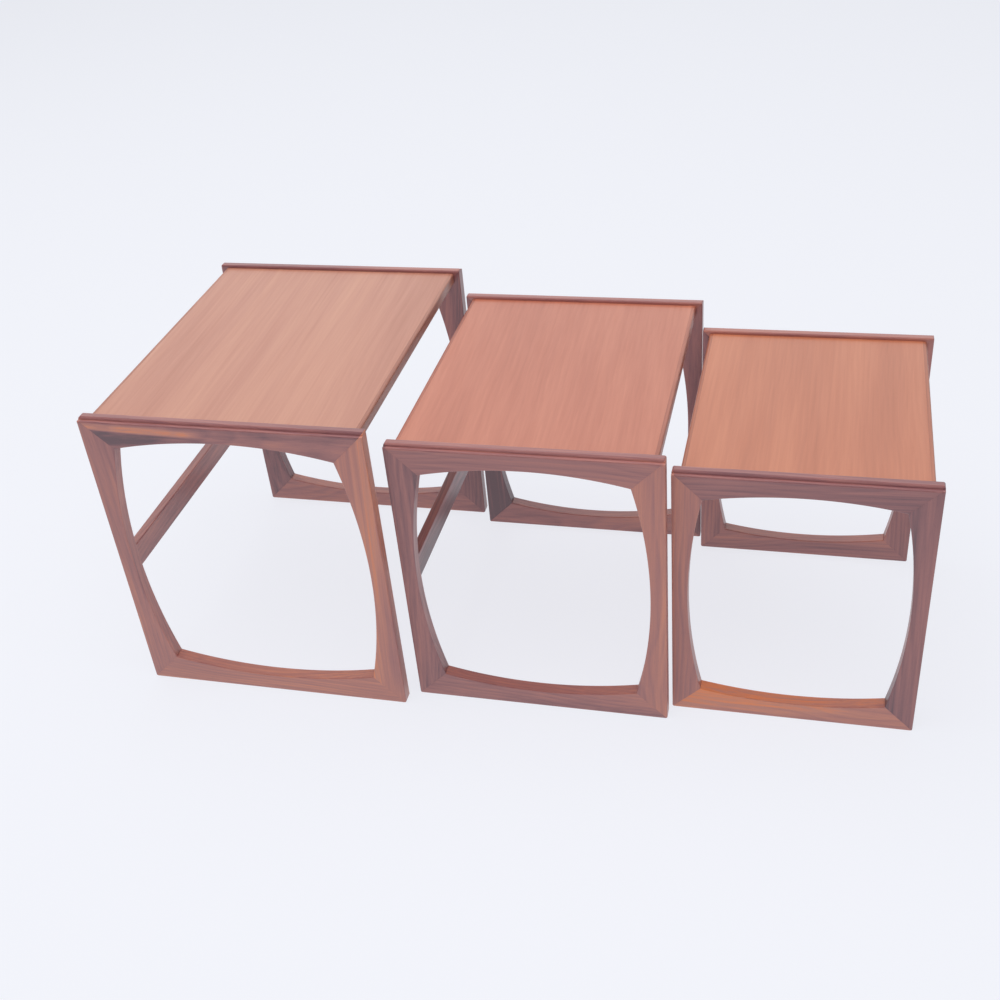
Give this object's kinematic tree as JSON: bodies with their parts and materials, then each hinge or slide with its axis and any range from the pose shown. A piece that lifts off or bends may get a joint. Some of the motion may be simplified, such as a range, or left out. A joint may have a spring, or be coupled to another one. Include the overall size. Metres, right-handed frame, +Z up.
{
  "type": "nesting tables",
  "caption": "Nest of tables with mitred, bow-edged teak end frames, veneered tops between raised lips and back stretchers; the smaller tables slide under the larger.",
  "frame": {"origin": "on the floor, at the middle of the row of three tables", "axes": "+X along the row, from the large table to the small one and out of the tables' open fronts; +Y from the left end frames to the right ones; +Z up"},
  "size_m": [1.192, 0.535, 0.495],
  "materials": {
    "teak_solid": "satin",
    "teak_veneer": "satin",
    "teak_lipping": "satin",
    "core_board": "sawn board",
    "beech_joinery": "plain"
  },
  "bodies": {
    "large": {"large_left_top_rail": "teak_solid", "large_left_bottom_rail": "teak_solid", "large_left_front_upright": "teak_solid", "large_left_back_upright": "teak_solid", "large_right_top_rail": "teak_solid", "large_right_bottom_rail": "teak_solid", "large_right_front_upright": "teak_solid", "large_right_back_upright": "teak_solid", "large_mitre_tongues": "beech_joinery", "large_top_core": "core_board", "large_top_veneer": "teak_veneer", "large_top_backing": "teak_veneer", "large_top_front_lipping": "teak_lipping", "large_top_back_lipping": "teak_lipping", "large_top_dowels": "beech_joinery", "large_stretcher": "teak_solid", "large_stretcher_dowels": "beech_joinery"},
    "medium": {"medium_left_top_rail": "teak_solid", "medium_left_bottom_rail": "teak_solid", "medium_left_front_upright": "teak_solid", "medium_left_back_upright": "teak_solid", "medium_right_top_rail": "teak_solid", "medium_right_bottom_rail": "teak_solid", "medium_right_front_upright": "teak_solid", "medium_right_back_upright": "teak_solid", "medium_mitre_tongues": "beech_joinery", "medium_top_core": "core_board", "medium_top_veneer": "teak_veneer", "medium_top_backing": "teak_veneer", "medium_top_front_lipping": "teak_lipping", "medium_top_back_lipping": "teak_lipping", "medium_top_dowels": "beech_joinery", "medium_stretcher": "teak_solid", "medium_stretcher_dowels": "beech_joinery"},
    "small": {"small_left_top_rail": "teak_solid", "small_left_bottom_rail": "teak_solid", "small_left_front_upright": "teak_solid", "small_left_back_upright": "teak_solid", "small_right_top_rail": "teak_solid", "small_right_bottom_rail": "teak_solid", "small_right_front_upright": "teak_solid", "small_right_back_upright": "teak_solid", "small_mitre_tongues": "beech_joinery", "small_top_core": "core_board", "small_top_veneer": "teak_veneer", "small_top_backing": "teak_veneer", "small_top_front_lipping": "teak_lipping", "small_top_back_lipping": "teak_lipping", "small_top_dowels": "beech_joinery"}
  },
  "joints": [
    {"name": "medium_slide", "type": "slide", "parent": "large", "child": "medium", "axis": [1, 0, 0], "range_m": [-0.406, 0]},
    {"name": "small_slide", "type": "slide", "parent": "medium", "child": "small", "axis": [1, 0, 0], "range_m": [-0.354, 0]}
  ]
}
